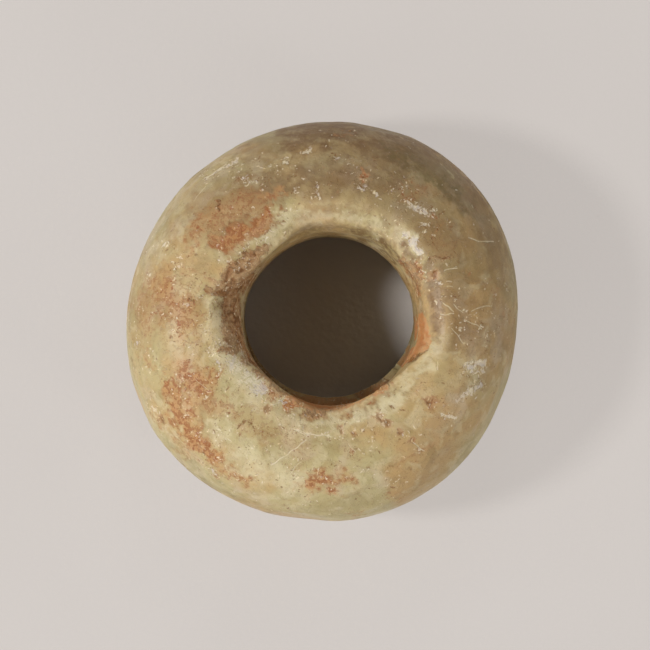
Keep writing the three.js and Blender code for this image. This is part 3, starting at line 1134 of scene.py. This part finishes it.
# burial soil: a crust of dark and pale crumbs in the mouth, and a film in every hollow
colour = (soil_level * 0.8).between(0.05, 0.80).blend(colour, linear(CRUST_BROWN))
crusted = (soil_level * 0.85 + patchy * 0.6).between(0.58, 0.86)
crust = kinks.between(0.49, 0.41).blend(linear(CRUST_BROWN), linear(CRUST_DARK))
crust = (kinks.between(0.54, 0.62) * 0.8).blend(crust, linear(CRUST_PALE))
colour = (crusted * 0.85).blend(colour, crust)
orange_soil = (orange_level + patchy * 0.25).between(0.50, 0.64)
orange_tone = patchy.between(0.35, 0.75).blend(linear(ORANGE_SOIL), linear(RUST_LIGHT))
colour = (orange_soil * 0.95).blend(colour, orange_tone)

# craters: a brown hollow with a paler rim, which holds cream and dark grains as below
crater_level = crater_held + (crumble - 0.5) * 0.5
core = crater_level.between(0.45, 0.75)
colour = (crater_level.between(0.10, 0.45) * 0.6).blend(colour, linear(PIT_RIM))
colour = (core * 0.40).blend(colour, linear(PIT_BROWN))

# cream and dark grains in clumps, with a few winding cream wisps: sparse on the clean stone,
# and dense in chips, stains, soil and craters
clump = mottle.between(0.40, 0.64) * 2.0 + 0.1


def crowding(clean, in_chips, in_soil, in_rust, in_lime):
    """The share of cells that hold a grain, from what it is on clean stone and in each mark."""
    crowd = clean + chip_level * in_chips + soil_level * in_soil
    return (crowd + rust_level * in_rust + lime_held * in_lime) * clump


cream_crowd = crowding(clean=0.05, in_chips=0.50, in_soil=0.42, in_rust=0.10, in_lime=0.90)
cream_crowd = cream_crowd.larger(crater_held * 1.6).larger(lime_held * 0.8)
creamy = grains(CREAM_GRAIN, cream_crowd)
wisps = winding(curls, 0.52, 0.07) * (cluster + chip_level * 0.12).between(0.60, 0.67) * 0.6
creamy = creamy.larger(wisps)
cream_tone = mottle.between(0.42, 0.58).blend(linear(CREAM), linear(LIME_WHITE))
colour = (creamy * 0.85).blend(colour, cream_tone)
dark_crowd = crowding(clean=0.08, in_chips=0.32, in_soil=0.25, in_rust=0.62, in_lime=0.35)
dark_crowd = dark_crowd.larger(crater_held * 0.45).larger(speck_held * 0.8)
dotted = grains(DARK_GRAIN, dark_crowd)
dot_tone = rust_level.between(0.1, 0.6).blend(linear(PIT_BROWN), linear(RUST_RED))
colour = (dotted * 0.75).blend(colour, dot_tone)

# white mineral
lime_level = (lime_held + (kinks - 0.5) * 2.6 + (fine - 0.5) * 1.6).between(0.55, 1.05)
lime_colour = mottle.between(0.45, 0.60).blend(linear(LIME_WHITE), linear(LIME_LILAC))
colour = (lime_level * 0.62).blend(colour, lime_colour)

# dark specks, scratches, a painted highlight on the crests, and painted shade down the drilled wall
specked = (speck_held + (kinks - 0.5) * 2.2 + (fine - 0.5) * 1.4).between(0.50, 1.00)
colour = (specked * 0.70).blend(colour, linear(PIT_BROWN))
colour = (held("pits") * crumble * 0.3).blend(colour, linear(PIT_BROWN))
scratched = scratch(*SCRATCHES[0])
for line in SCRATCHES[1:]:
    scratched = scratched.larger(scratch(*line))
scratched = scratched * upper_half * (crumble * 0.6 + 0.4)
colour = (scratched * 0.85).blend(colour, linear(SCRATCH_PALE))
# painted highlight: cream along the proud crests
colour = (held("ridge_highlight") * 0.25).blend(colour, linear(CREAM))
# painted shade down the drilled wall, in dark olive
colour = (held("bore_shade") * 0.6).blend(colour, linear(BORE_SHADE_OLIVE))
feed(shader, "Base Color", colour)

# soil, grains and rust are duller than the polished stone, and the crust has no polish at all
dull = (crusted * 0.35).larger(orange_soil * 0.4)
dull = dull.larger(creamy * 0.2).larger(rusty * rust_level * 0.2)
feed(shader, "Roughness", mottle * 0.16 + STONE_ROUGHNESS + dull)
shader.inputs["Subsurface Weight"].default_value = SOAK_SHARE
shader.inputs["Subsurface Radius"].default_value = SOAK_SPREAD
shader.inputs["Subsurface Scale"].default_value = SOAK_DEPTH
shader.inputs["Specular IOR Level"].default_value = STONE_SPECULAR
shader.inputs["IOR"].default_value = STONE_INDEX
shader.inputs["Coat Roughness"].default_value = POLISH_ROUGHNESS
feed(shader, "Coat Weight", (1 - crusted) * POLISH_SHARE)

# crust, cream grains and rust stand proud; dark grains, chips, craters and scratches are sunk
raised = crusted * kinks * 2.2 + creamy * 0.4 + mottle * 0.5 + crumble * (rusty * 0.3 + 0.15)
sunk = dotted * 0.5 + core * 0.35 + specked * 0.5 + scratched * 0.7 + lime_level * crumble * 0.4
feed(shader, "Normal", place.bump(raised - sunk, CRUST_HEIGHT))

stone_mesh.materials.append(stone_finish)
stone = bpy.data.objects.new("weathered_stone", stone_mesh)
bpy.context.scene.collection.objects.link(stone)
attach(stone, STONE_BODY)
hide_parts(STONE_NODE)
